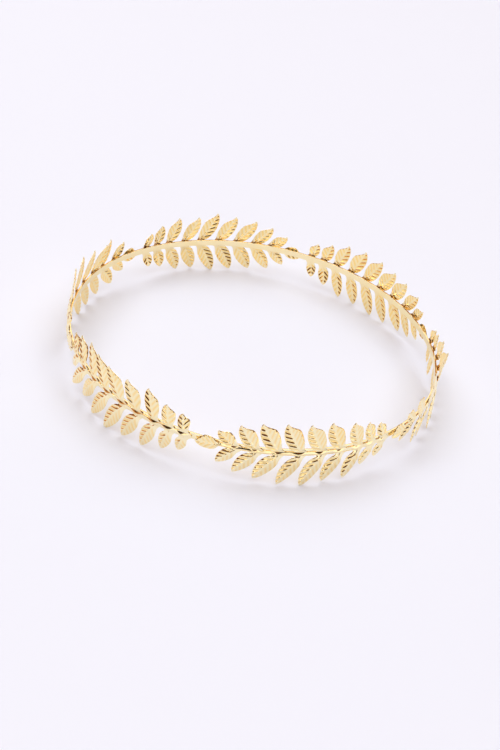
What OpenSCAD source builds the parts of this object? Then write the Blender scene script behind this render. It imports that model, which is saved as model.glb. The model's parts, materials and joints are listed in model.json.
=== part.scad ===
// Leaf crown: a plain closed band with stamped leaf sprays set end to end round its outside.
// The crown lies flat on its lowest leaf tips, with its axis along Z and the middle of a spray at -Y.

/* [Band] */
// Inside diameter of the band, where the head goes
head_d = 175.2; // [150:0.2:200]
// Height of the band's flat strip
band_w = 3; // [2.6:0.1:5]
// Thickness of the band's flat strip
band_t = 0.8; // [0.5:0.1:1.2]

/* [Sprays] */
// Number of sprays round the band
sprays = 6; // [5:1:7]
// Clearance between the band and the back of each stem
seat_gap = 0.05; // [0.04:0.01:0.1]
// Thickness of the stamped sheet
sheet_t = 0.4; // [0.3:0.05:0.6]
// Width of the stem where the spray starts
stem_base_w = 2.2; // [1.8:0.1:2.6]
// Width of the stem where the last leaf grows from it
stem_tip_w = 1.5; // [1.2:0.1:2]
// How far the ridge along the stem stands up
stem_ridge = 0.35; // [0:0.05:0.5]
// How far the stem lies below the middle of the band
stem_drop = 0.6; // [0:0.1:1.2]
// How far the stem climbs again towards the spray's tip
stem_climb = 0.9; // [0:0.1:2]
// Distance from the end of a spray to the next spray
spray_gap = 1.6; // [0.8:0.1:3]
// Angle at which the last leaf leaves the band
last_leaf_out = 5; // [0:0.5:8]

/* [Leaves] */
// Scale of all the leaves' lengths and widths
leaf_scale = 1; // [0.8:0.02:1.04]
// Width of the lower leaves as a share of the upper leaves' width
lower_share = 0.9; // [0.8:0.02:1]
// Width of each leaf's stalk where it leaves the stem
foot_w = 3.2; // [2.2:0.1:3.4]
// Width of the stalk where the leaf's blade starts
stalk_w = 2; // [1.2:0.1:2.2]
// Length of each leaf's short stalk
stalk_l = 0.8; // [0.6:0.1:1.4]
// How far the foot of each leaf lifts it off the band
foot_rise = 1; // [0.4:0.1:1.4]
// Length of the rising foot
foot_l = 2.2; // [1.6:0.1:3]
// Angle by which the upper leaves lean out
lean_out = 3.5; // [0:0.5:6]
// Angle by which the lower leaves lean in, which keeps them clear of the way into the band
lean_in = 1; // [-1:0.5:1]
// Twist of the upper leaves about their length, which brings the edge nearer the spray's tip out
twist_upper = 6; // [0:1:15]
// Twist of the lower leaves about their length
twist_lower = 11; // [0:1:20]
// How far each leaf arches back towards its tip
arch = 1.7; // [0:0.1:2]
// How far a leaf's edges fall below its middle
cup = 0.5; // [0:0.05:0.8]
// Angle by which each leaf turns away from the stem between its stalk and its tip
leaf_turn = 14; // [0:1:20]
// Number of side veins in each half of a leaf
veins = 4; // [2:1:4]
// Height of the side veins
vein_h = 0.14; // [0:0.02:0.2]
// Height of the middle rib
rib_h = 0.22; // [0:0.02:0.3]
// How far the side veins run towards the leaf's tip, as a share of the leaf's length
vein_sweep = 0.14; // [0.05:0.01:0.2]
// Depth of the notches between the side veins at the edge
notch = 0.14; // [0:0.02:0.2]

/* [Hidden] */
// One row for each pair of leaves: place along the spray as a share of its length,
// leaf length, leaf width, and angle between leaf and stem at the stalk
LEAF_PAIRS = [
    [0.036,  8.6, 5.2, 69],
    [0.110, 11.2, 6.0, 68],
    [0.188, 15.0, 6.8, 62],
    [0.284, 16.0, 7.2, 60],
    [0.380, 17.6, 7.5, 54],
    [0.485, 16.9, 7.5, 53],
    [0.590, 16.3, 7.3, 50],
    [0.692, 14.4, 6.7, 46],
    [0.788, 11.2, 5.6, 36],
];
// The leaf at the spray's tip: its place, and its width
LAST_LEAF = [0.862, 6.6];
LEAF_PLACE = 0;
LEAF_LENGTH = 1;
LEAF_WIDTH = 2;
LEAF_LEAN = 3;

GOLD = [0.93, 0.76, 0.42];

band_in_r = head_d / 2;
band_out_r = band_in_r + band_t;
stem_r = band_out_r + seat_gap;
spray_angle = 360 / sprays;
spray_l = stem_r * spray_angle * PI / 180;
pairs = len(LEAF_PAIRS);

// The stem has a section at its start, three where each pair of leaves grows, one halfway to the next
// leaves, and one at its end. Each section has six points: lower edge, middle and upper edge in front,
// and the same behind.
last_leaf_at = LAST_LEAF[0] * spray_l;
function pair_at(i) = i < pairs ? LEAF_PAIRS[i][LEAF_PLACE] * spray_l : last_leaf_at;
STEM_AT = concat(
    [0],
    [for (i = [0:pairs - 1]) each concat(
        [for (k = [-1:1]) pair_at(i) + k * foot_w / 2],
        (pair_at(i) + pair_at(i + 1)) / 2)],
    [last_leaf_at]
);
function stem_w(s) = stem_base_w + (stem_tip_w - stem_base_w) * s / last_leaf_at;
function stem_h(s) = stem_climb * pow(s / spray_l, 4) - stem_drop;

// A point is given by its distance along the stem, its height above the middle of the band, and its
// distance out from the stem's back. The sprays run clockwise round the band, seen from above.
// What grows from the stem at s = at stays flat there, and so it leaves the round band as a tangent.
function placed(at, p) =
    let (a = spray_angle / 2 - 90 - at / spray_l * spray_angle, r = stem_r + p.z)
    [r * cos(a) + (p.x - at) * sin(a), r * sin(a) - (p.x - at) * cos(a), p.y];

stem_points = [
    for (s = STEM_AT, back = [0, 1], h = [-0.5, 0, 0.5])
        placed(s, [s, stem_h(s) + h * stem_w(s), back ? 0 : sheet_t + (h == 0 ? stem_ridge : 0)])
];

// Half the width of a leaf at t, from 0 at its stalk to 1 at its tip, as a share of its greatest
// half width. The powers of t and 1 - t shape its edges: the fore edge, which faces the spray's tip,
// is round, and the aft edge narrows to the leaf's tip in an S.
FORE_EDGE = [0.55, 0.75];
AFT_EDGE = [0.5, 1.05];
function swell(t, edge) =
    let (peak = edge[0] / (edge[0] + edge[1]))
    pow(t / peak, edge[0]) * pow((1 - t) / (1 - peak), edge[1]);

// Share of a leaf's length over which its twist grows to the full angle
twist_in = 1 / 3;

// Middle line of a leaf in the plane of the sheet: an arc that starts at the lean and ends leaf_turn later
function axis_angle(lean, t) = lean + leaf_turn * t;
function axis_point(l, lean, t) =
    let (r = leaf_turn == 0 ? 0 : l * 180 / (PI * leaf_turn))
    leaf_turn == 0 ? [l * t * cos(lean), l * t * sin(lean)]
    : [r * (sin(lean + leaf_turn * t) - sin(lean)), r * (cos(lean) - cos(lean + leaf_turn * t))];

// Distance of a leaf's back from the band at the distance x along the leaf, which is l long
function leaf_lift(x, l) = foot_rise * sin(90 * min(1, x / foot_l)) - arch * pow(x / l, 2);

// The points of one leaf that grows from the point root of the stem, in the direction lean.
// side is 1 above the stem and -1 below it, where the same leaf is mirrored.
// Each section has six points: fore edge, middle and aft edge in front, and the same behind.
// The side veins are the even sections, which swing forward from the middle rib to the edges.
last_section = 2 * veins;
function leaf_points(root, l, w, lean, side, out, twist) =
    let (
        blade_l = l - stalk_l,
        start = [stalk_l * cos(lean), stalk_l * sin(lean)],
        put = function (p, n) placed(root.x, root + [p.x, side * p.y, n]),
        section = function (k, c, back) let (
            t = k / (last_section + 1),
            te = c == 0 ? t : t + vein_sweep * sin(180 * t),
            wave = k == 0 ? 0 : (k % 2 == 0 ? 1 : -1),
            half = k == 0 ? stalk_w / 2
                : w / 2 * swell(te, c < 0 ? FORE_EDGE : AFT_EDGE) + wave * notch,
            a = axis_angle(lean, te),
            x = stalk_l + blade_l * te,
            relief = k == 0 ? 0
                : c == 0 ? rib_h + wave * vein_h / 2
                : wave * vein_h - cup * pow(2 * half / w, 2),
            turned_out = -c * half * tan(twist) * min(1, te / twist_in)
        ) put(start + axis_point(blade_l, lean, te) + c * half * [-sin(a), cos(a)],
            leaf_lift(x, l) + x * tan(out) + relief + turned_out + (back ? 0 : sheet_t)),
        tip = start + axis_point(blade_l, lean, 1)
    )
    concat(
        [for (k = [0:last_section], back = [0, 1], c = [-1:1]) section(k, c, back)],
        [for (back = [0, 1]) put(tip, leaf_lift(l, l) + l * tan(out) + (back ? 0 : sheet_t))]
    );

function pair_points(i, side) =
    let (row = LEAF_PAIRS[i], s = pair_at(i))
    leaf_points([s, stem_h(s) + side * stem_w(s) / 2, 0], row[LEAF_LENGTH] * leaf_scale,
        row[LEAF_WIDTH] * leaf_scale * (side > 0 ? 1 : lower_share), row[LEAF_LEAN], side,
        side > 0 ? lean_out : -lean_in, side > 0 ? twist_upper : twist_lower);

// The last leaf runs straight on from the stem, so half its turn is taken off its lean
last_leaf_l = spray_l - spray_gap - last_leaf_at;
last_leaf_points = leaf_points([last_leaf_at, stem_h(last_leaf_at), 0], last_leaf_l,
    LAST_LEAF[1] * leaf_scale, -leaf_turn / 2, 1, last_leaf_out, 0);

spray_points = concat(
    stem_points,
    [for (i = [0:pairs - 1], side = [-1, 1]) each pair_points(i, side)],
    last_leaf_points
);

// Faces are triangles between two neighbouring sections a and b, each a list of six point numbers:
// three in front, 0 to 2, and three behind, 3 to 5
function quad(a, b, c, d) = [[a, b, c], [a, c, d]];
function sheet_between(a, b) = concat(
    quad(a[0], b[0], b[1], a[1]),
    quad(b[1], b[2], a[2], a[1]),
    quad(a[3], a[4], b[4], b[3]),
    quad(b[4], a[4], a[5], b[5])
);
function lower_wall(a, b) = quad(b[0], a[0], a[3], b[3]);
function upper_wall(a, b) = quad(a[2], b[2], b[5], a[5]);
function strip(a, b) = concat(sheet_between(a, b), lower_wall(a, b), upper_wall(a, b));

// The last section of a leaf closes on its two tip points, one in front and one behind
function leaf_end(a, tip, tip_back) = concat(
    [[a[0], tip, a[1]], [a[1], tip, a[2]], [a[3], a[4], tip_back], [a[4], a[5], tip_back]],
    quad(tip, a[0], a[3], tip_back),
    quad(a[2], tip, tip_back, a[5])
);
function turned(faces) = [for (f = faces) [f[2], f[1], f[0]]];
function six_from(n) = [for (k = [0:5]) n + k];

leaf_size = 6 * (last_section + 1) + 2;
first_leaf_point = len(stem_points);
function leaf_faces(number, root_section) =
    let (n = first_leaf_point + number * leaf_size)
    concat(
        strip(root_section, six_from(n)),
        [for (k = [0:last_section - 1]) each strip(six_from(n + 6 * k), six_from(n + 6 * (k + 1)))],
        leaf_end(six_from(n + 6 * last_section), n + leaf_size - 2, n + leaf_size - 1)
    );

// A leaf shares six points with the stem's edge: three along its front and three along its back
function root_of_pair(i, side) =
    let (edge = side > 0 ? 2 : 0, aft = 6 * (4 * i + 1) + edge, mid = aft + 6, fore = mid + 6)
    [fore, mid, aft, fore + 3, mid + 3, aft + 3];

// Whether leaves grow from the stretch of stem that follows section j
function bears_leaf(j) = j % 4 == 1 || j % 4 == 2;
sections = len(STEM_AT);
stem_faces = concat(
    [for (j = [0:sections - 2]) each sheet_between(six_from(6 * j), six_from(6 * (j + 1)))],
    [for (j = [0:sections - 2]) if (!bears_leaf(j))
        each concat(lower_wall(six_from(6 * j), six_from(6 * (j + 1))),
            upper_wall(six_from(6 * j), six_from(6 * (j + 1))))],
    quad(0, 1, 4, 3),
    quad(1, 2, 5, 4)
);
spray_faces = concat(
    stem_faces,
    [for (i = [0:pairs - 1]) each concat(
        turned(leaf_faces(2 * i, root_of_pair(i, -1))),
        leaf_faces(2 * i + 1, root_of_pair(i, 1)))],
    leaf_faces(2 * pairs, six_from(6 * (sections - 1)))
);

// Height of the middle of the band when the crown lies on its lowest leaf tips
band_z = -min([for (p = spray_points) p.z]);

module band() {
    color(GOLD)
        translate([0, 0, band_z - band_w / 2])
            rotate_extrude($fn = 180)
                translate([band_in_r, 0])
                    square([band_t, band_w]);
}

module spray(number) {
    color(GOLD)
        translate([0, 0, band_z])
            rotate([0, 0, -spray_angle * (number - 1)])
                polyhedron(points = spray_points, faces = spray_faces, convexity = 10);
}

band();
for (i = [1:sprays])
    spray(i);
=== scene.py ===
import json
import math
from typing import NamedTuple

import bpy
import numpy as np
from bpy.props import FloatProperty, FloatVectorProperty, IntProperty, PointerProperty
from mathutils import Matrix, Vector


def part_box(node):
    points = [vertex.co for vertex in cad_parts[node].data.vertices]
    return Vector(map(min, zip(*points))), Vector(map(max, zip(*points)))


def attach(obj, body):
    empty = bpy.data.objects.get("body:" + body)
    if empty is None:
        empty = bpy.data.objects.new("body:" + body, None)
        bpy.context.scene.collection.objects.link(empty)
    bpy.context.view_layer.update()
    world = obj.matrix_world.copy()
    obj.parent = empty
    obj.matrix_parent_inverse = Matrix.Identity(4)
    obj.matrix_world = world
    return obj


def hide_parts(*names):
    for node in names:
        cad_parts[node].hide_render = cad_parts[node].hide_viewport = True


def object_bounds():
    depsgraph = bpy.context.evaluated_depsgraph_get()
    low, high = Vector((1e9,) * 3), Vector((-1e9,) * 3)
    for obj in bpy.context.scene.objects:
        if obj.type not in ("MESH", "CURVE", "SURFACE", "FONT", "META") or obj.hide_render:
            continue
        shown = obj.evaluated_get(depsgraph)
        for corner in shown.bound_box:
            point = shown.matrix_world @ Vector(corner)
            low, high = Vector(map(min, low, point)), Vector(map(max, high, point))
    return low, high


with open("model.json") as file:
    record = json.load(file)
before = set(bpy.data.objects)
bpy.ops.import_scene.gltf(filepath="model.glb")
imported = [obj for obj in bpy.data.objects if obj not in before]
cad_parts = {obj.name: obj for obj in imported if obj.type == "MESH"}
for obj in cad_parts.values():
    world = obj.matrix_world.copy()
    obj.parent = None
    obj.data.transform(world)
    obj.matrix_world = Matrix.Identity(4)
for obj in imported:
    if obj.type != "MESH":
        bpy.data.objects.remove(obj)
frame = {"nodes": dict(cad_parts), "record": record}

bl_info = {
    "name": "Leaf Crown",
    "version": (1, 0, 0),
    "blender": (4, 5, 0),
    "location": "3D View > Sidebar > Leaf Crown",
    "description": "Makes a gilt crown of stamped leaf sprays on a plain band, and the studio round it",
    "category": "Add Mesh",
}

MM = 0.001
CAD_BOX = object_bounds()
BAND_LOW, BAND_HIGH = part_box("band")
BAND_MIDDLE = (BAND_LOW.z + BAND_HIGH.z) / 2
BAND_OUTSIDE = BAND_HIGH.x
OPENING = next(m for m in frame["record"]["mounts"] if m["name"] == "head_opening")
BAND_INSIDE = OPENING["dims"]["r_mm"] * MM
SPRAY_NODES = sorted(n for n in frame["nodes"] if n.startswith("spray_"))
SPRAY_ANGLE = 2 * math.pi / len(SPRAY_NODES)


class Pair(NamedTuple):
    """One pair of leaves: its place as a share of the spray, and its leaves' length, width and lean."""

    place: float
    length: float
    width: float
    lean: float


PAIRS = [
    Pair(0.036, 8.6 * MM, 5.2 * MM, math.radians(69)),
    Pair(0.110, 11.2 * MM, 6.0 * MM, math.radians(68)),
    Pair(0.188, 15.0 * MM, 6.8 * MM, math.radians(62)),
    Pair(0.284, 16.0 * MM, 7.2 * MM, math.radians(60)),
    Pair(0.380, 17.6 * MM, 7.5 * MM, math.radians(54)),
    Pair(0.485, 16.9 * MM, 7.5 * MM, math.radians(53)),
    Pair(0.590, 16.3 * MM, 7.3 * MM, math.radians(50)),
    Pair(0.692, 14.4 * MM, 6.7 * MM, math.radians(46)),
    Pair(0.788, 11.2 * MM, 5.6 * MM, math.radians(36)),
]
LAST_LEAF_PLACE = 0.862
LAST_LEAF_WIDTH = 6.6 * MM

# Shares of the half width at which the points across a sheet lie, close together at the rib and the
# edge, and shares of the sheet's thickness at which the two points of its rounded rim lie
HALF_ACROSS = [0, 0.05, 0.12, 0.21, 0.32, 0.44, 0.56, 0.68, 0.79, 0.88, 0.94, 0.98, 1]
ACROSS = np.array([-x for x in HALF_ACROSS[:0:-1]] + HALF_ACROSS)
RIM = np.array([0.26, 0.74])
RIM_BULGE = 0.1 * MM
FRONTS = len(ACROSS)
BACK_START = FRONTS + len(RIM)
RING = 2 * BACK_START

# The stem's ridge: its height between the leaves and its swell past each pair, as shares, how far past
# the pair the swell is and how far it reaches, the length over which the ridge starts, and its power of v
RIDGE_SHARE = 0.75
SWELL_SHARE = 0.45
SWELL_PAST = 1.2 * MM
SWELL_REACH = 1.6 * MM
RIDGE_START = 1.5 * MM
RIDGE_POWER = 1.15

# Powers of t and of 1 - t for a leaf's round edges
ROUND_EDGE = (0.5, 0.58)
LONG_EDGE = (0.5, 0.72)
# The shoulder on an upper leaf's aft edge: its t, and the powers of its rise and of its fall to the tip
AFT_SHOULDER = 0.54
SHOULDER_BEND = 2.2
SHOULDER_RISE = 0.55
SHOULDER_FALL = 1.1

# The t at which the stalk has ended, the power that joins it to the blade, and the least half width
STALK_END = 0.12
JOIN_POWER = 4
TIP_HALF = 0.06 * MM
# The length over which a leaf's rows leave the stem's line, and the power of u in their swing
JOIN_LENGTH = 2.2 * MM
SWING_POWER = 1.2

# Length of the lower leaves' feet as a share of the upper leaves'
LOWER_FOOT = 1.6
# The soft and the even part of a foot's rise
FOOT_SOFT = 0.3
FOOT_EVEN = 0.7
# The part of the arch that comes early along a leaf, and the part that comes late
ARCH_EARLY = 0.7
ARCH_LATE = 0.3
# The power of u in the cup
CUP_POWER = 2.6
# The length over which the rib rises, its height at the tip as a share, and how far the stem's ridge
# runs on into the leaf
RIB_RISE = 0.8 * MM
RIB_TIP = 0.35
RIDGE_RUN = 4 * MM

# The power of the raised cosine in the veins, and how far it is let down
CREST_POWER = 1.3
CREST_SHIFT = 0.9
# Over what distance beside the rib the veins rise, and over what shares of the blade at its start and tip
VEIN_RISE = 0.9 * MM
VEIN_START = 0.06
VEIN_END = 0.1
# The share that the veins' fading starts from at the very edge, and the width over which it grows by 1
VEIN_EDGE = 0.25
VEIN_EDGE_WIDTH = 0.5 * MM
# Where the veins on a leaf's back start, and over what length they rise
BACK_VEIN_START = 1.2 * MM
BACK_VEIN_RISE = 1.6 * MM

# How much deeper the gold's colour is on the inner faces, and between the veins, where the deeper gold is
# painted shade in the valleys
INNER_DEPTH = 0.28
VALLEY_SHADE = 0.38
# How far up an upper leaf's heel the painted shade reaches, a dark brown standing in for shade and dark
# reflection where the foot leaves the stem, over what length it fades, and where in u it fades
HEEL_REACH = 1.8 * MM
HEEL_FADE = 0.8 * MM
HEEL_FORE = -1.3
HEEL_FORE_FADE = 0.8


class BandSettings(bpy.types.PropertyGroup):
    edge_round: FloatProperty(
        name="Edge rounding", description="Radius of the strip's rounded edges",
        default=0.08 * MM, unit="LENGTH")
    steps: IntProperty(name="Steps", description="Steps round the band", default=360, min=60)


class StemSettings(bpy.types.PropertyGroup):
    seat_gap: FloatProperty(
        name="Seat gap", description="Clearance between the band and the stem",
        default=0.05 * MM, unit="LENGTH")
    base_width: FloatProperty(
        name="Base width", description="Width where the spray starts",
        default=2.2 * MM, unit="LENGTH")
    tip_width: FloatProperty(
        name="Tip width", description="Width where the last leaf starts",
        default=1.5 * MM, unit="LENGTH")
    ridge: FloatProperty(
        name="Ridge", description="Height of the ridge along the stem",
        default=0.45 * MM, unit="LENGTH")
    drop: FloatProperty(
        name="Drop", description="How far the stem lies below the band's middle",
        default=0.6 * MM, unit="LENGTH")
    climb: FloatProperty(
        name="Climb", description="How far it climbs towards the spray's tip",
        default=0.9 * MM, unit="LENGTH")
    tip_gap: FloatProperty(
        name="Tip gap", description="Distance from the spray's tip to the next spray",
        default=1.6 * MM, unit="LENGTH")


class LeafSettings(bpy.types.PropertyGroup):
    sheet: FloatProperty(
        name="Sheet", description="Thickness of the stamped sheet",
        default=0.4 * MM, unit="LENGTH")
    foot_width: FloatProperty(
        name="Foot width", description="Width of the stalk on the stem",
        default=4.6 * MM, unit="LENGTH")
    stalk_upper: FloatProperty(
        name="Upper stalk", description="Width of the upper leaves' stalk",
        default=2.0 * MM, unit="LENGTH")
    stalk_lower: FloatProperty(
        name="Lower stalk", description="Width of the lower leaves' stalk",
        default=3.4 * MM, unit="LENGTH")
    stalk_length: FloatProperty(
        name="Stalk length", description="Length of the stalk", default=0.8 * MM, unit="LENGTH")
    foot_rise: FloatProperty(
        name="Foot rise", description="How far the foot lifts the leaf off the band",
        default=1.0 * MM, unit="LENGTH")
    foot_length: FloatProperty(
        name="Foot length", description="Length of the rising foot",
        default=2.2 * MM, unit="LENGTH")
    lower_share: FloatProperty(
        name="Lower share", description="Width of the lower leaves as a share of the upper",
        default=0.97)
    aft_share: FloatProperty(
        name="Aft share", description="Width behind the rib as a share of the width before it",
        default=1.1)
    lean_out: FloatProperty(
        name="Lean out", description="How far the upper leaves lean out",
        default=math.radians(3.5), subtype="ANGLE")
    lower_out: FloatProperty(
        name="Lower lean out", description="How far the lower leaves lean out",
        default=math.radians(2.5), subtype="ANGLE")
    last_out: FloatProperty(
        name="Last leaf out", description="Angle at which the last leaf leaves the band",
        default=math.radians(5), subtype="ANGLE")
    twist_upper: FloatProperty(
        name="Upper twist", description="Twist of the upper leaves about their length",
        default=math.radians(4), subtype="ANGLE")
    twist_lower: FloatProperty(
        name="Lower twist", description="Twist of the lower leaves about their length",
        default=math.radians(-3), subtype="ANGLE")
    arch: FloatProperty(
        name="Arch", description="How far each leaf arches back towards its tip",
        default=1.7 * MM, unit="LENGTH")
    lower_arch: FloatProperty(
        name="Lower arch", description="Arch of the lower leaves as a share of the upper",
        default=0.35)
    cup: FloatProperty(
        name="Cup", description="How far the edges fall below the middle",
        default=0.4 * MM, unit="LENGTH")
    turn: FloatProperty(
        name="Turn", description="How far a leaf turns away from the stem",
        default=math.radians(14), subtype="ANGLE")
    vein_pitch: FloatProperty(
        name="Vein pitch", description="Distance between side veins, roughly",
        default=2.9 * MM, unit="LENGTH")
    vein_angle: FloatProperty(
        name="Vein angle", description="Angle between the rib and the side veins",
        default=math.radians(48), subtype="ANGLE")
    vein_height: FloatProperty(
        name="Vein height", description="Height of the side veins",
        default=0.235 * MM, unit="LENGTH")
    back_upper: FloatProperty(
        name="Upper backs",
        description="Height of the veins on the upper leaves' backs as a share of the front's",
        default=0.66)
    back_lower: FloatProperty(
        name="Lower backs",
        description="Height of the veins on the lower leaves' backs as a share of the front's",
        default=0.83)
    edge_roll: FloatProperty(
        name="Edge roll", description="How far the sheet's edge rolls back",
        default=0.155 * MM, unit="LENGTH")
    edge_width: FloatProperty(
        name="Edge width", description="Width of the rolled edge",
        default=0.45 * MM, unit="LENGTH")
    rib_height: FloatProperty(
        name="Rib height", description="Height of the middle rib",
        default=0.22 * MM, unit="LENGTH")
    rib_width: FloatProperty(
        name="Rib width", description="Width of the middle rib", default=0.45 * MM, unit="LENGTH")
    sweep: FloatProperty(
        name="Row sweep",
        description="How far the rows of points swing towards the tip, as a share of the blade",
        default=0.2)
    aft_veins: FloatProperty(
        name="Aft veins", description="Height of the veins behind the rib as a share of those before it",
        default=0.5)
    aft_back: FloatProperty(
        name="Aft veins on the back", description="The same share on the leaf's back", default=0.85)
    unevenness: FloatProperty(
        name="Unevenness", description="How far the leaves differ from each other, as if bent by hand",
        default=math.radians(3.5), subtype="ANGLE")
    # Strength of the painted shade on the upper leaves' heels, a dark brown standing in for shade and dark
    # reflection where the foot leaves the stem
    heel_stain: FloatProperty(
        name="Heel stain", description="How dark the solder's heat has stained the upper leaves' heels",
        default=0.8)
    rows: IntProperty(name="Rows", description="Rows of points along a leaf", default=56, min=20)
    # Chosen by a search: of 150,000 seeds, this one's draws fit best with which leaves of four sprays show
    # dark veins in the photograph, as rated
    seed: IntProperty(name="Seed", description="Seed of the leaves' differences", default=51052)


class GoldSettings(bpy.types.PropertyGroup):
    colour: FloatVectorProperty(
        name="Gold", description="Colour of the polished plate",
        default=(1.0, 0.888, 0.59), subtype="COLOR", size=3)
    # The deep gold shows in random clouds of thicker plate, and as painted shade between the veins
    deep_and_shaded_gold: FloatVectorProperty(
        name="Deep gold", description="Colour where the plate lies thicker",
        default=(1.0, 0.73, 0.28), subtype="COLOR", size=3)
    # Colour of the painted shade on the heels
    stain_colour: FloatVectorProperty(
        name="Stain", description="Colour of the solder's stain on the heels",
        default=(0.30, 0.11, 0.04), subtype="COLOR", size=3)
    roughness: FloatProperty(
        name="Roughness", description="Roughness of the polished plate", default=0.055)


class StageSettings(bpy.types.PropertyGroup):
    floor_colour: FloatVectorProperty(
        name="Floor", description="Colour of the floor",
        default=(0.812, 0.842, 0.946), subtype="COLOR", size=3)
    backdrop_colour: FloatVectorProperty(
        name="Backdrop", description="Colour beyond the floor",
        default=(0.93, 0.92, 0.98), subtype="COLOR", size=3)
    tent_colour: FloatVectorProperty(
        name="Tent", description="Colour of the light tent",
        default=(1.0, 0.985, 1.0), subtype="COLOR", size=3)
    warm: FloatVectorProperty(
        name="Warm stretch", description="Colour just above the horizon",
        default=(0.72, 0.66, 0.57), subtype="COLOR", size=3)
    brown: FloatVectorProperty(
        name="Brown stretch", description="Colour of the brown part of the room",
        default=(0.30, 0.14, 0.05), subtype="COLOR", size=3)
    dark: FloatVectorProperty(
        name="Dark stretch", description="Colour of the dark room above it",
        default=(0.03, 0.014, 0.006), subtype="COLOR", size=3)
    red_brown: FloatVectorProperty(
        name="Red-brown stretch", description="Colour of the room above the dark parts",
        default=(0.08, 0.028, 0.01), subtype="COLOR", size=3)
    lamp: FloatVectorProperty(
        name="Lamp", description="Colour of the soft light overhead",
        default=(1.0, 1.0, 1.0), subtype="COLOR", size=3)
    tent_strength: FloatProperty(
        name="Tent strength", description="Strength of the soft light all round", default=1.85)
    key_power: FloatProperty(
        name="Key power", description="Power of the large soft light", default=4.0, unit="POWER")


# Shapes shared by the pieces


def smooth_step(x):
    """Rises from 0 to 1 between x = 0 and x = 1, level at both ends: 3 x squared less 2 x cubed."""
    x = np.clip(x, 0, 1)
    return x * x * (3 - 2 * x)


def unit(v):
    """The vectors v, each divided by its length."""
    return v / np.maximum(np.linalg.norm(v, axis=-1, keepdims=True), 1e-12)


def rings_round(flat, front, behind):
    """Closed rings of points round a sheet, one ring for each row.

    flat is (rows, FRONTS, 2), a distance along the stem and a height, and front and behind are how far out
    the two faces lie there. At both edges two rim points stand past the edge by the bulge, at most a fifth
    of the row's width, so the rim is rounded. A ring runs over the front, the aft rim, the back and the
    fore rim.
    """
    wide = np.linalg.norm(flat[:, -1:] - flat[:, :1], axis=-1, keepdims=True)
    bulge = np.minimum(RIM_BULGE, wide / 5)
    aft = flat[:, -1:] + bulge * unit(flat[:, -1:] - flat[:, -2:-1])
    fore = flat[:, :1] + bulge * unit(flat[:, :1] - flat[:, 1:2])
    rims = len(RIM)
    ring_flat = np.concatenate(
        [flat, np.repeat(aft, rims, 1), flat[:, ::-1], np.repeat(fore, rims, 1)], axis=1)
    ring_out = np.concatenate([
        front,
        front[:, -1:] + (behind - front)[:, -1:] * RIM,
        behind[:, ::-1],
        front[:, :1] + (behind - front)[:, :1] * RIM[::-1],
    ], axis=1)
    return ring_flat, ring_out


def strip_quads(first, second):
    """Quads between two rings of point numbers, or between the rows of two arrays of such rings."""
    return np.stack([first, np.roll(first, -1, -1), np.roll(second, -1, -1), second], -1).reshape(-1, 4)


def end_quads(ring):
    """Quads that close a ring: one between each two neighbouring points in front and the two behind."""
    front_points = ring[:FRONTS]
    back_points = ring[BACK_START:BACK_START + FRONTS][::-1]
    across = np.stack([front_points[:-1], front_points[1:], back_points[1:], back_points[:-1]], -1)
    aft_rim = ring[FRONTS - 1:BACK_START + 1]
    fore_rim = np.append(ring[BACK_START + FRONTS - 1:], ring[0])
    return np.concatenate([across, [aft_rim], [fore_rim]])[:, ::-1]


def mesh_object(name, points, faces, material, marks=None):
    """A smooth-shaded object at the origin from an array of points and an array of quads.

    marks are numbers for each point, such as how deep the gold's colour is there, and each is kept as an
    attribute of the mesh.
    """
    mesh = bpy.data.meshes.new(name)
    mesh.vertices.add(len(points))
    mesh.vertices.foreach_set("co", np.asarray(points, np.float32).ravel())
    mesh.loops.add(faces.size)
    mesh.loops.foreach_set("vertex_index", np.asarray(faces, np.int32).ravel())
    mesh.polygons.add(len(faces))
    mesh.polygons.foreach_set("loop_start", np.arange(0, faces.size, faces.shape[1], dtype=np.int32))
    mesh.polygons.foreach_set("use_smooth", np.ones(len(faces), bool))
    for mark, value in (marks or {}).items():
        kept = mesh.attributes.new(mark, "FLOAT", "POINT")
        kept.data.foreach_set("value", np.asarray(value, np.float32).ravel())
    mesh.update(calc_edges=True)
    if mesh.validate():
        raise RuntimeError(f"{name} has faces that are not valid")
    piece = bpy.data.objects.new(name, mesh)
    piece.data.materials.append(material)
    bpy.context.scene.collection.objects.link(piece)
    return piece


# The band


def band_surface(settings):
    """A rounded rectangle carried round a circle.

    The profile is the strip's section, with a quarter circle at each corner, and it turns once about Z.
    The gold is deeper on the inner face.
    """
    half_thick = (BAND_OUTSIDE - BAND_INSIDE) / 2
    half_high = (BAND_HIGH.z - BAND_LOW.z) / 2
    radius = settings.edge_round
    corner_steps = 5
    quarter = np.linspace(0, math.pi / 2, corner_steps)
    angle = np.concatenate([quarter + k * math.pi / 2 for k in range(4)])
    corner = np.repeat([[1, 1], [-1, 1], [-1, -1], [1, -1]], corner_steps, axis=0)
    centre = corner * [half_thick - radius, half_high - radius]
    profile = centre + radius * np.stack([np.cos(angle), np.sin(angle)], -1)
    turn = np.linspace(0, 2 * math.pi, settings.steps, endpoint=False)[:, None]
    reach = (BAND_INSIDE + BAND_OUTSIDE) / 2 + profile[:, 0]
    points = np.stack([
        reach * np.cos(turn),
        reach * np.sin(turn),
        BAND_MIDDLE + profile[:, 1] + 0 * turn,
    ], -1)
    number = np.arange(points.shape[0] * points.shape[1]).reshape(points.shape[:2])
    faces = strip_quads(np.roll(number, -1, 0), number)
    depth = np.broadcast_to(INNER_DEPTH * (profile[:, 0] < 0), points.shape[:2])
    return points.reshape(-1, 3), faces, {"depth": depth}


# The sprays


class Growth(NamedTuple):
    """How one leaf grows: where on the stem, above it (side 1) or below (side -1), and its own measures."""

    at: float
    height: float
    side: int
    length: float
    width: float
    lean: float
    out: float
    twist: float
    ridge: float = 0


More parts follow.
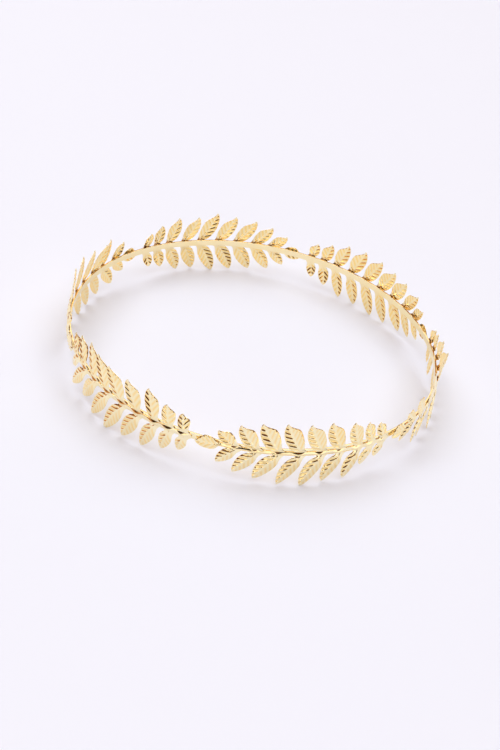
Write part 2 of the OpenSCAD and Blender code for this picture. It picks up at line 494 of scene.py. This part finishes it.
class Spray:
    """Works out the points and faces of one spray: a stem and its leaves, all one closed sheet."""

    def __init__(self, stem, leaf, turn, random):
        self.stem, self.leaf, self.turn, self.random = stem, leaf, turn, random
        self.radius = BAND_OUTSIDE + stem.seat_gap
        self.length = self.radius * SPRAY_ANGLE
        self.last_at = LAST_LEAF_PLACE * self.length
        self.points, self.faces, self.depth, self.stain, self.count = [], [], [], [], 0

    def placed(self, at, flat, out):
        """The points flat and out of a sheet that is a tangent to the band at the distance at.

        No point lies lower than the surface that the crown rests on.
        """
        angle = SPRAY_ANGLE / 2 - math.pi / 2 - at / self.radius - self.turn
        reach = self.radius + out
        ahead = flat[..., 0] - at
        return np.stack([
            reach * np.cos(angle) + ahead * np.sin(angle),
            reach * np.sin(angle) - ahead * np.cos(angle),
            np.maximum(BAND_MIDDLE + flat[..., 1], CAD_BOX[0][2]),
        ], -1)

    def add(self, points, front_depth, back_stain):
        """Adds (rows, RING) points, and returns their numbers in the same form.

        The second argument is painted shade between the veins on the front, given as how much deeper the
        gold's colour is there. The rims and the back are deeper still by the inner faces' share, and the
        back takes the front's painted shade too. The third argument is painted shade on the back at the
        heels, a dark brown standing in for shade and dark reflection where the foot leaves the stem.
        """
        numbers = self.count + np.arange(points.shape[0] * points.shape[1]).reshape(points.shape[:2])
        back = slice(BACK_START, BACK_START + FRONTS)
        depth = np.full(points.shape[:2], INNER_DEPTH)
        depth[:, :FRONTS] = front_depth
        depth[:, back] += front_depth[:, ::-1]
        stain = np.zeros(points.shape[:2])
        stain[:, back] = back_stain[:, ::-1]
        self.depth.append(depth.ravel())
        self.stain.append(stain.ravel())
        self.points.append(points.reshape(-1, 3))
        self.count += numbers.size
        return numbers

    def stem_height(self, s):
        """Height of the stem's middle above the band's: it drops, and climbs with the fourth power."""
        return self.stem.climb * (s / self.length) ** 4 - self.stem.drop

    def stem_width(self, s):
        """Width of the stem: it narrows evenly to the last leaf, and its start is nearly a half circle."""
        width = self.stem.base_width + (self.stem.tip_width - self.stem.base_width) * s / self.last_at
        start = self.stem.base_width / 2
        roundness = 0.96
        return width * np.sqrt(1 - roundness * np.clip(1 - s / start, 0, 1) ** 2)

    def stations(self):
        """Distances along the stem of its rings, and the number of the first ring of each foot.

        A foot has a ring for each point across a leaf, so that the leaf's own rings can grow from them.
        """
        between = 7
        found, first_of_foot, done = [], [], 0.0
        for pair in PAIRS:
            foot = pair.place * self.length + ACROSS * self.leaf.foot_width / 2
            found.append(np.linspace(done, foot[0], between, endpoint=False))
            first_of_foot.append(sum(map(len, found)))
            found.append(foot)
            done = foot[-1] + (foot[-1] - foot[-2])
        found.append(np.linspace(done, self.last_at, between))
        return np.concatenate(found), first_of_foot

    def make_stem(self):
        """A roof-shaped strip: across it the front rises by the ridge times 1 less a power of v.

        The ridge swells as a bell just past each pair of leaves, where their ribs run into it. The strip's
        rims are left out where the leaves grow from it.
        """
        s, first_of_foot = self.stations()
        height = self.stem_height(s)[:, None] + ACROSS * self.stem_width(s)[:, None] / 2
        past = [s - pair.place * self.length - SWELL_PAST for pair in PAIRS]
        swell = sum(np.exp(-(distance / SWELL_REACH) ** 2) for distance in past)
        ridge = self.stem.ridge * (RIDGE_SHARE + SWELL_SHARE * swell) * smooth_step(s / RIDGE_START)
        out = self.leaf.sheet + ridge[:, None] * (1 - np.abs(ACROSS) ** RIDGE_POWER)
        flat = np.stack([np.broadcast_to(s[:, None], height.shape), height], -1)
        ring_flat, ring_out = rings_round(flat, out, 0 * out)
        points = self.placed(s[:, None], ring_flat, ring_out)
        numbers = self.add(points, 0 * out, 0 * out)
        quads = strip_quads(numbers[:-1], numbers[1:]).reshape(len(s) - 1, RING, 4)
        shown = np.ones(quads.shape[:2], bool)
        aft_rim = slice(FRONTS - 1, BACK_START)
        fore_rim = slice(BACK_START + FRONTS - 1, RING)
        for first in first_of_foot:
            stretch = slice(first, first + FRONTS - 1)
            shown[stretch, aft_rim] = False
            shown[stretch, fore_rim] = False
        self.faces += [quads[shown], end_quads(numbers[0])[:, ::-1]]
        return numbers, first_of_foot

    def plain_edge(self, t, powers):
        """Half width as a share of the greatest: a power of t times a power of 1 - t, 1 at its peak."""
        rise, fall = powers
        peak = rise / (rise + fall)
        return (t / peak) ** rise * ((1 - t) / (1 - peak)) ** fall

    def shouldered_edge(self, t):
        """Half width as a share: a round rise up to the shoulder, then half a wave down to the tip."""
        near = np.clip(t / AFT_SHOULDER, 0, 1)
        far = np.clip((t - AFT_SHOULDER) / (1 - AFT_SHOULDER), 0, 1)
        rise = (1 - (1 - near) ** SHOULDER_BEND) ** SHOULDER_RISE
        return rise * (1 + np.cos(math.pi * far ** SHOULDER_FALL)) / 2

    def half_width(self, grown, foot_line, x, t, swung):
        """Half width of a leaf: a high power joins the narrowing stalk's to the blade's."""
        leaf, upper = self.leaf, grown.side > 0
        if upper:
            fore, aft = self.plain_edge(swung, ROUND_EDGE), self.shouldered_edge(swung) * leaf.aft_share
            edge = np.where(ACROSS < 0, fore, aft)
        else:
            edge = self.plain_edge(swung, LONG_EDGE)
        foot_half = np.abs(foot_line[-1] - foot_line[0]).max() / 2
        neck = (leaf.stalk_upper if upper else leaf.stalk_lower) / 2
        widening = np.clip(1 - x / (2 * leaf.stalk_length), 0, 1) ** 2
        stalk = (neck + max(0, foot_half - neck) * widening) * np.clip(1 - t / STALK_END, 0, 1)
        half = ((grown.width / 2 * edge) ** JOIN_POWER + stalk ** JOIN_POWER) ** (1 / JOIN_POWER)
        return np.maximum(half, TIP_HALF)

    def vein_wave(self, grown, along, aside, t):
        """A cosine of where on the rib each vein starts, and how far the veins have risen there.

        The veins are straight and leave the rib at the vein angle, with half a wave over at the tip. They
        fade beside the rib, at the blade's start and at its tip.
        """
        leaf = self.leaf
        blade = grown.length - leaf.stalk_length
        count = max(3, round(blade / leaf.vein_pitch))
        start = (along - leaf.stalk_length - aside / math.tan(leaf.vein_angle)) / blade
        wave = np.cos(2 * math.pi * (count + 0.5) * start)
        risen = smooth_step(aside / VEIN_RISE) * smooth_step(start / VEIN_START)
        return wave, risen * smooth_step((1 - t) / VEIN_END)

    def body(self, grown, x, t, swung, along, half):
        """How far out a leaf's front lies without its veins and its rolled edge.

        It is the sum of the sheet, the foot's rise, the arch, the lean out, the twist with u, which is
        whole from a third of the blade on, the cup with a power of u, the rib as a bell across the leaf,
        and the end of the stem's ridge.
        """
        leaf, upper, length, u = self.leaf, grown.side > 0, grown.length, ACROSS[None, :]
        full = np.minimum(2 * half / grown.width, 1)
        foot = along / (leaf.foot_length if upper else LOWER_FOOT * leaf.foot_length)
        ramp = FOOT_SOFT * smooth_step(foot) + FOOT_EVEN * np.clip(foot, 0, 1)
        arch = leaf.arch if upper else leaf.arch * leaf.lower_arch
        return (
            leaf.sheet
            + leaf.foot_rise * ramp
            - arch * (ARCH_EARLY * (1 - (1 - along / length) ** 2) + ARCH_LATE * (along / length) ** 2)
            + along * (math.tan(grown.out) - (leaf.arch - arch) / length)
            - u * half * math.tan(grown.twist) * np.clip(3 * swung, 0, 1)
            - leaf.cup * np.abs(u) ** CUP_POWER * full ** 2 * smooth_step(x / leaf.foot_length)
            + leaf.rib_height * np.exp(-(u * half / (leaf.rib_width / 2)) ** 2) * smooth_step(x / RIB_RISE)
            * (RIB_TIP + (1 - RIB_TIP) * (1 - t))
            + grown.ridge * (1 - np.abs(u) ** RIDGE_POWER) * (1 - smooth_step(x / RIDGE_RUN))
        )

    def make_leaf(self, root, foot_line, grown):
        """One leaf as rings round a sheet, from the ring root of the stem to its tip.

        x is a row's distance from the stem, t runs from 0 at the blade's start to 1 at its tip, and u from
        -1 at the fore edge to 1 at the aft edge. A row of points swings towards the tip by the sweep times
        sin(pi t) times a power of u. The middle line is straight along the stalk, then an arc, and near
        the stem the rows blend into the stem's own line. The veins are a power of a raised cosine, higher
        before the rib than behind it, and have heights of their own on the back. The edge rolls back with
        the square of the distance.
        """
        leaf, upper, lean = self.leaf, grown.side > 0, grown.lean
        x = grown.length * np.linspace(0, 1, leaf.rows + 1)[1:, None]
        u = ACROSS[None, :]
        blade = grown.length - leaf.stalk_length
        t = np.clip((x - leaf.stalk_length) / blade, 0, 1)
        swing = leaf.sweep * np.sin(math.pi * t) * np.abs(u) ** SWING_POWER
        swung = np.clip(t + swing, 0, 1)
        along = x + blade * swing
        half = self.half_width(grown, foot_line, x, t, swung)

        stalk = np.minimum(along, leaf.stalk_length)
        bend = blade / leaf.turn
        angle = lean + leaf.turn * swung
        middle = np.stack([
            stalk * math.cos(lean) + bend * (np.sin(angle) - math.sin(lean)),
            stalk * math.sin(lean) + bend * (math.cos(lean) - np.cos(angle)),
        ], -1)
        offset = (u * half)[..., None] * np.stack([-np.sin(angle), np.cos(angle)], -1)
        start = foot_line[None] + x[..., None] * np.array([math.cos(lean), math.sin(lean)])
        blend = smooth_step(x / JOIN_LENGTH)[..., None]
        flat = (1 - blend) * start + blend * (middle + offset)
        flat = flat * [1, grown.side] + [grown.at, grown.height]

        wave, risen = self.vein_wave(grown, along, np.abs(u) * half, t)
        inward = (1 - np.abs(u)) * half
        crest = 2 * (0.5 + 0.5 * wave) ** CREST_POWER - CREST_SHIFT
        veins = leaf.vein_height * crest * risen * smooth_step(VEIN_EDGE + inward / VEIN_EDGE_WIDTH)
        back_share = leaf.back_upper if upper else leaf.back_lower
        back_veins = veins * back_share * np.where(u > 0, leaf.aft_back, 1)
        back_veins = back_veins * smooth_step((x - BACK_VEIN_START) / BACK_VEIN_RISE)
        veins = veins * np.where(u > 0, leaf.aft_veins, 1)
        roll = leaf.edge_roll * np.clip(1 - inward / leaf.edge_width, 0, 1) ** 2
        roll = roll * smooth_step(x / leaf.foot_length)
        body = self.body(grown, x, t, swung, along, half)
        front, behind = body + veins - roll, body - leaf.sheet + back_veins + roll / 2
        ring_flat, ring_out = rings_round(flat, front, behind)

        # Painted shade on the upper leaves' heels, standing in for shade and dark reflection where the foot
        # leaves the stem
        heel = leaf.heel_stain * upper * smooth_step((HEEL_REACH - x) / HEEL_FADE)
        heel = heel * smooth_step((u - HEEL_FORE) / HEEL_FORE_FADE)
        points = self.placed(grown.at, ring_flat, ring_out)
        # The deeper gold between the veins is painted shade in the valleys
        numbers = self.add(points, VALLEY_SHADE * (1 - wave) * risen, heel)
        quads = np.concatenate([
            strip_quads(root, numbers[0]),
            strip_quads(numbers[:-1], numbers[1:]),
            end_quads(numbers[-1]),
        ])
        self.faces.append(quads if upper else quads[:, ::-1])

    def differs(self):
        """A seeded angle, at most twice the unevenness, by which one leaf differs from the rest."""
        return self.leaf.unevenness * float(np.clip(self.random.normal(), -2, 2))

    def make(self):
        """The whole spray as points, quads and marks."""
        leaf = self.leaf
        numbers, first_of_foot = self.make_stem()
        foot_line = np.stack([-ACROSS * leaf.foot_width / 2, 0 * ACROSS], -1)
        for pair, first in zip(PAIRS, first_of_foot):
            at = pair.place * self.length
            stretch = numbers[first:first + FRONTS]
            for side in (-1, 1):
                upper = side > 0
                if upper:
                    front, behind, rim = FRONTS - 1, BACK_START, slice(FRONTS, BACK_START)
                    aft_rim, fore_rim = stretch[0, rim], stretch[-1, rim][::-1]
                else:
                    front, behind, rim = 0, BACK_START + FRONTS - 1, slice(BACK_START + FRONTS, RING)
                    aft_rim, fore_rim = stretch[0, rim][::-1], stretch[-1, rim]
                root = np.concatenate([stretch[::-1, front], aft_rim, stretch[:, behind], fore_rim])
                self.make_leaf(root, foot_line, Growth(
                    at=at,
                    height=self.stem_height(at) + side * self.stem_width(at) / 2,
                    side=side,
                    length=pair.length,
                    width=pair.width * (1 if upper else leaf.lower_share),
                    lean=pair.lean + self.differs() / 2,
                    out=(leaf.lean_out if upper else leaf.lower_out) + self.differs(),
                    twist=(leaf.twist_upper if upper else leaf.twist_lower) + self.differs()))
        end_width = float(self.stem_width(np.array(self.last_at)))
        self.make_leaf(numbers[-1], np.stack([0 * ACROSS, ACROSS * end_width / 2], -1), Growth(
            at=self.last_at,
            height=self.stem_height(self.last_at),
            side=1,
            length=self.length - self.stem.tip_gap - self.last_at,
            width=LAST_LEAF_WIDTH,
            lean=-leaf.turn / 2,
            out=leaf.last_out,
            twist=self.differs(),
            ridge=self.stem.ridge * RIDGE_SHARE))
        # Marks for the gold: its deeper colour, partly painted shade between the veins, and the painted
        # shade on the heels
        marks = {"depth": np.concatenate(self.depth), "stain": np.concatenate(self.stain)}
        return np.concatenate(self.points), np.concatenate(self.faces), marks


def volume(points, faces):
    """Six times the volume inside a closed mesh of quads, positive where its faces point outwards."""
    a, b, c, d = (points[faces[:, k]] for k in range(4))
    return float((a * np.cross(b, c)).sum() + (a * np.cross(c, d)).sum())


# Finish


def gold_material(settings):
    """Polished gold plate: two golds in broad clouds, with fine unevenness in its gloss and surface.

    The deeper gold also shows as far as one mark of the mesh says, which on the leaves is partly painted
    shade between the veins, and a dark brown as far as another mark says, which is painted shade on the
    heels.
    """
    name = "polished gold plate"
    if name in bpy.data.materials:
        return bpy.data.materials[name]
    material = bpy.data.materials.new(name)
    material.use_nodes = True
    nodes, links = material.node_tree.nodes, material.node_tree.links
    shader = nodes["Principled BSDF"]
    shader.inputs["Metallic"].default_value = 1.0
    place = nodes.new("ShaderNodeTexCoord")

    def noise(label, scale, detail):
        texture = nodes.new("ShaderNodeTexNoise")
        texture.label = label
        texture.inputs["Scale"].default_value = scale
        texture.inputs["Detail"].default_value = detail
        links.new(place.outputs["Object"], texture.inputs["Vector"])
        return texture

    def mapped(source, low, high, to_low, to_high):
        change = nodes.new("ShaderNodeMapRange")
        ends = {"From Min": low, "From Max": high, "To Min": to_low, "To Max": to_high}
        for label, value in ends.items():
            change.inputs[label].default_value = value
        links.new(source, change.inputs["Value"])
        return change.outputs["Result"]

    clouds = noise("Plate thickness", scale=90, detail=3)
    mix = nodes.new("ShaderNodeMix")
    mix.data_type = "RGBA"
    mix.inputs["A"].default_value = (*settings.colour, 1)
    mix.inputs["B"].default_value = (*settings.deep_and_shaded_gold, 1)
    # Deeper gold on the inner faces, and painted shade between the veins
    depth = nodes.new("ShaderNodeAttribute")
    depth.attribute_name = "depth"
    both = nodes.new("ShaderNodeMath")
    both.operation = "ADD"
    both.use_clamp = True
    links.new(mapped(clouds.outputs["Fac"], low=0.45, high=0.75, to_low=0, to_high=0.28), both.inputs[0])
    links.new(depth.outputs["Fac"], both.inputs[1])
    links.new(both.outputs["Value"], mix.inputs["Factor"])
    # Painted shade on the heels, a dark brown laid over the gold
    stain = nodes.new("ShaderNodeAttribute")
    stain.attribute_name = "stain"
    stained = nodes.new("ShaderNodeMix")
    stained.data_type = "RGBA"
    links.new(stain.outputs["Fac"], stained.inputs["Factor"])
    links.new(mix.outputs["Result"], stained.inputs["A"])
    stained.inputs["B"].default_value = (*settings.stain_colour, 1)
    links.new(stained.outputs["Result"], shader.inputs["Base Color"])
    gloss = noise("Polish", scale=900, detail=4)
    least, most = settings.roughness * 0.7, settings.roughness * 1.5
    links.new(
        mapped(gloss.outputs["Fac"], low=0.3, high=0.7, to_low=least, to_high=most),
        shader.inputs["Roughness"])
    grain = noise("Fine unevenness", scale=2200, detail=3)
    bump = nodes.new("ShaderNodeBump")
    bump.inputs["Strength"].default_value = 0.09
    bump.inputs["Distance"].default_value = 0.02 * MM
    links.new(grain.outputs["Fac"], bump.inputs["Height"])
    links.new(bump.outputs["Normal"], shader.inputs["Normal"])
    return material


# Stage


def plain_material(name, colour, roughness):
    """One plain colour for a thing of the stage."""
    material = bpy.data.materials.new(name)
    material.use_nodes = True
    shader = material.node_tree.nodes["Principled BSDF"]
    shader.inputs["Base Color"].default_value = (*colour, 1)
    shader.inputs["Roughness"].default_value = roughness
    return material


CAMERA_PLACE = Vector((-0.16605, -0.50559, 0.35682))
CAMERA_TURN = math.radians(18.33)
CAMERA_DOWN = math.radians(34.28)
CAMERA_ROLL = math.radians(11.08)
CAMERA_LENS = 63.32
SENSOR_WIDTH = 36
FLOOR_REACH = 6.0
FLOOR_ROUGHNESS = 0.9
KEY_PLACE = (-1.0, 0.6, 1.6)
KEY_WIDTH = 1.2


def make_camera():
    """The photograph's view: turned to the right, tilted down and rolled about its own axis."""
    data = bpy.data.cameras.new("camera")
    data.lens = CAMERA_LENS
    data.sensor_width = SENSOR_WIDTH
    camera = bpy.data.objects.new("camera", data)
    bpy.context.scene.collection.objects.link(camera)
    turned = Matrix.Rotation(-CAMERA_TURN, 4, "Z") @ Matrix.Rotation(math.pi / 2 - CAMERA_DOWN, 4, "X")
    camera.matrix_world = (
        Matrix.Translation(CAMERA_PLACE) @ turned @ Matrix.Rotation(CAMERA_ROLL, 4, "Z"))
    bpy.context.scene.camera = camera


def make_floor(settings):
    """A plain pale floor under the crown."""
    corners = np.array([[-1, -1, 0], [1, -1, 0], [1, 1, 0], [-1, 1, 0]])
    finish = plain_material("pale floor", settings.floor_colour, FLOOR_ROUGHNESS)
    floor = mesh_object("floor", FLOOR_REACH * corners, np.array([[0, 1, 2, 3]]), finish)


class Stretch(NamedTuple):
    """A stretch of the tent: its lowest and highest z, its turn about Z and half width, and its colour.

    The turn and the half width are in degrees.
    """

    low: float
    high: float
    turn: float
    half_width: float
    colour: str


ALL_ROUND = 360
SOFT_HEIGHT = 0.03
SOFT_TURN = math.radians(4)
# The later of these cover the earlier
TENT = [
    Stretch(-0.06, 0.26, 0, ALL_ROUND, "warm"),
    Stretch(-0.06, 0.26, 118, 94, "brown"),
    Stretch(0.22, 0.74, 0, ALL_ROUND, "red_brown"),
    Stretch(0.26, 0.46, 72, 50, "brown"),
    Stretch(0.46, 0.74, 72, 50, "warm"),
    Stretch(0.40, 0.51, 73, 8, "red_brown"),
    Stretch(0.20, 0.46, -104, 18, "warm"),
    Stretch(0.12, 0.36, -71, 12, "dark"),
    Stretch(0.08, 0.34, -100, 7, "dark"),
    Stretch(0.06, 0.36, -144, 10, "dark"),
    Stretch(0.06, 0.36, -13, 10, "dark"),
    Stretch(0.86, 1.10, 0, ALL_ROUND, "lamp"),
]


def make_world(settings):
    """A white light tent that is warm and dark low down, as a room is, for the gold to mirror.

    Each stretch covers the directions whose height and turn about Z lie within its own, with soft edges.
    The camera itself sees a plain pale backdrop.
    """
    world = bpy.data.worlds.new("light tent")
    world.use_nodes = True
    nodes, links = world.node_tree.nodes, world.node_tree.links
    tent = nodes["Background"]
    tent.inputs["Strength"].default_value = settings.tent_strength
    place = nodes.new("ShaderNodeTexCoord")
    split = nodes.new("ShaderNodeSeparateXYZ")
    links.new(place.outputs["Generated"], split.inputs["Vector"])

    def vectors(kind, first, second):
        """One step of vector work on a socket and a fixed vector."""
        work = nodes.new("ShaderNodeVectorMath")
        work.operation = kind
        links.new(first, work.inputs[0])
        work.inputs[1].default_value = second
        return work.outputs["Value" if kind == "DOT_PRODUCT" else "Vector"]

    def rise(value, start, end):
        """A smooth step from 0 at the start to 1 at the end."""
        step = nodes.new("ShaderNodeMapRange")
        step.interpolation_type = "SMOOTHSTEP"
        step.inputs["From Min"].default_value = start
        step.inputs["From Max"].default_value = end
        links.new(value, step.inputs["Value"])
        return step.outputs["Result"]

    def times(first, second):
        work = nodes.new("ShaderNodeMath")
        work.operation = "MULTIPLY"
        links.new(first, work.inputs[0])
        links.new(second, work.inputs[1])
        return work.outputs["Value"]

    def covered(under, share, colour):
        """The colour laid over what is under it, or over the bare tent, as far as the share says."""
        cover = nodes.new("ShaderNodeMix")
        cover.data_type = "RGBA"
        cover.inputs["A"].default_value = (*settings.tent_colour, 1)
        if under is not None:
            links.new(under, cover.inputs["A"])
        cover.inputs["B"].default_value = (*colour, 1)
        links.new(share, cover.inputs["Factor"])
        return cover.outputs["Result"]

    height = split.outputs["Z"]
    level = vectors("NORMALIZE", vectors("MULTIPLY", place.outputs["Generated"], (1, 1, 0)), (0, 0, 0))
    colour = None
    for stretch in TENT:
        share = times(
            rise(height, stretch.low - SOFT_HEIGHT, stretch.low + SOFT_HEIGHT),
            rise(height, stretch.high + SOFT_HEIGHT, stretch.high - SOFT_HEIGHT))
        if stretch.half_width != ALL_ROUND:
            turn, half_width = math.radians(stretch.turn), math.radians(stretch.half_width)
            facing = vectors("DOT_PRODUCT", level, (math.cos(turn), math.sin(turn), 0))
            outer, inner = math.cos(half_width + SOFT_TURN), math.cos(half_width - SOFT_TURN)
            share = times(share, rise(facing, outer, inner))
        colour = covered(colour, share, getattr(settings, stretch.colour))
    links.new(colour, tent.inputs["Color"])
    backdrop = nodes.new("ShaderNodeBackground")
    backdrop.inputs["Color"].default_value = (*settings.backdrop_colour, 1)
    path = nodes.new("ShaderNodeLightPath")
    mix = nodes.new("ShaderNodeMixShader")
    links.new(path.outputs["Is Camera Ray"], mix.inputs["Fac"])
    links.new(tent.outputs["Background"], mix.inputs[1])
    links.new(backdrop.outputs["Background"], mix.inputs[2])
    links.new(mix.outputs["Shader"], nodes["World Output"].inputs["Surface"])
    bpy.context.scene.world = world


def make_key_light(settings):
    """A large soft light above and to the left."""
    data = bpy.data.lights.new("key light", "AREA")
    data.shape = "DISK"
    data.size = KEY_WIDTH
    data.energy = settings.key_power
    light = bpy.data.objects.new("key light", data)
    bpy.context.scene.collection.objects.link(light)
    light.location = KEY_PLACE
    light.rotation_mode = "QUATERNION"
    light.rotation_quaternion = Vector(light.location).to_track_quat("Z", "Y")


# Operators


class LEAFCROWN_OT_band(bpy.types.Operator):
    """Make the plain closed band"""

    bl_idname = "leafcrown.band"
    bl_label = "Make the Band"

    def execute(self, context):
        scene = context.scene
        points, faces, marks = band_surface(scene.crown_band)
        if volume(points, faces) <= 0:
            raise RuntimeError("the band's faces point inwards")
        piece = mesh_object("polished_band", points, faces, gold_material(scene.crown_gold), marks)
        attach(piece, "root")
        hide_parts("band")
        return {"FINISHED"}


class LEAFCROWN_OT_sprays(bpy.types.Operator):
    """Make the stamped sprays, set end to end round the band"""

    bl_idname = "leafcrown.sprays"
    bl_label = "Make the Sprays"

    def execute(self, context):
        scene = context.scene
        random = np.random.default_rng(scene.crown_leaf.seed)
        for number, node in enumerate(SPRAY_NODES):
            turn = number * SPRAY_ANGLE
            points, faces, marks = Spray(scene.crown_stem, scene.crown_leaf, turn, random).make()
            if volume(points, faces) <= 0:
                raise RuntimeError(f"the faces of {node} point inwards")
            piece = mesh_object(f"stamped_{node}", points, faces, gold_material(scene.crown_gold), marks)
            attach(piece, "root")
            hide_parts(node)
        return {"FINISHED"}


class LEAFCROWN_OT_stage(bpy.types.Operator):
    """Set the floor, the soft studio light and the camera"""

    bl_idname = "leafcrown.stage"
    bl_label = "Set the Stage"

    def execute(self, context):
        settings = context.scene.crown_stage
        context.scene.view_settings.view_transform = "Standard"
        make_floor(settings)
        make_world(settings)
        make_key_light(settings)
        make_camera()
        return {"FINISHED"}


GROUPS = [
    ("crown_band", BandSettings, "Band"),
    ("crown_stem", StemSettings, "Stem"),
    ("crown_leaf", LeafSettings, "Leaves"),
    ("crown_gold", GoldSettings, "Gold"),
    ("crown_stage", StageSettings, "Stage"),
]
OPERATORS = [LEAFCROWN_OT_band, LEAFCROWN_OT_sprays, LEAFCROWN_OT_stage]


class LEAFCROWN_PT_panel(bpy.types.Panel):
    """Lists the crown's settings and the buttons that make its pieces"""

    bl_idname = "LEAFCROWN_PT_panel"
    bl_label = "Leaf Crown"
    bl_space_type = "VIEW_3D"
    bl_region_type = "UI"
    bl_category = "Leaf Crown"

    def draw(self, context):
        for name, group, title in GROUPS:
            box = self.layout.box()
            box.label(text=title)
            for key in group.__annotations__:
                box.prop(getattr(context.scene, name), key)
        for operator in OPERATORS:
            self.layout.operator(operator.bl_idname)


def register():
    for name, group, title in GROUPS:
        bpy.utils.register_class(group)
        setattr(bpy.types.Scene, name, PointerProperty(type=group, name=title))
    for kind in [*OPERATORS, LEAFCROWN_PT_panel]:
        bpy.utils.register_class(kind)


def unregister():
    for kind in [LEAFCROWN_PT_panel, *reversed(OPERATORS)]:
        bpy.utils.unregister_class(kind)
    for name, group, title in reversed(GROUPS):
        delattr(bpy.types.Scene, name)
        bpy.utils.unregister_class(group)


def main():
    register()
    bpy.ops.leafcrown.band()
    bpy.ops.leafcrown.sprays()
    bpy.ops.leafcrown.stage()


if __name__ == "__main__":
    main()
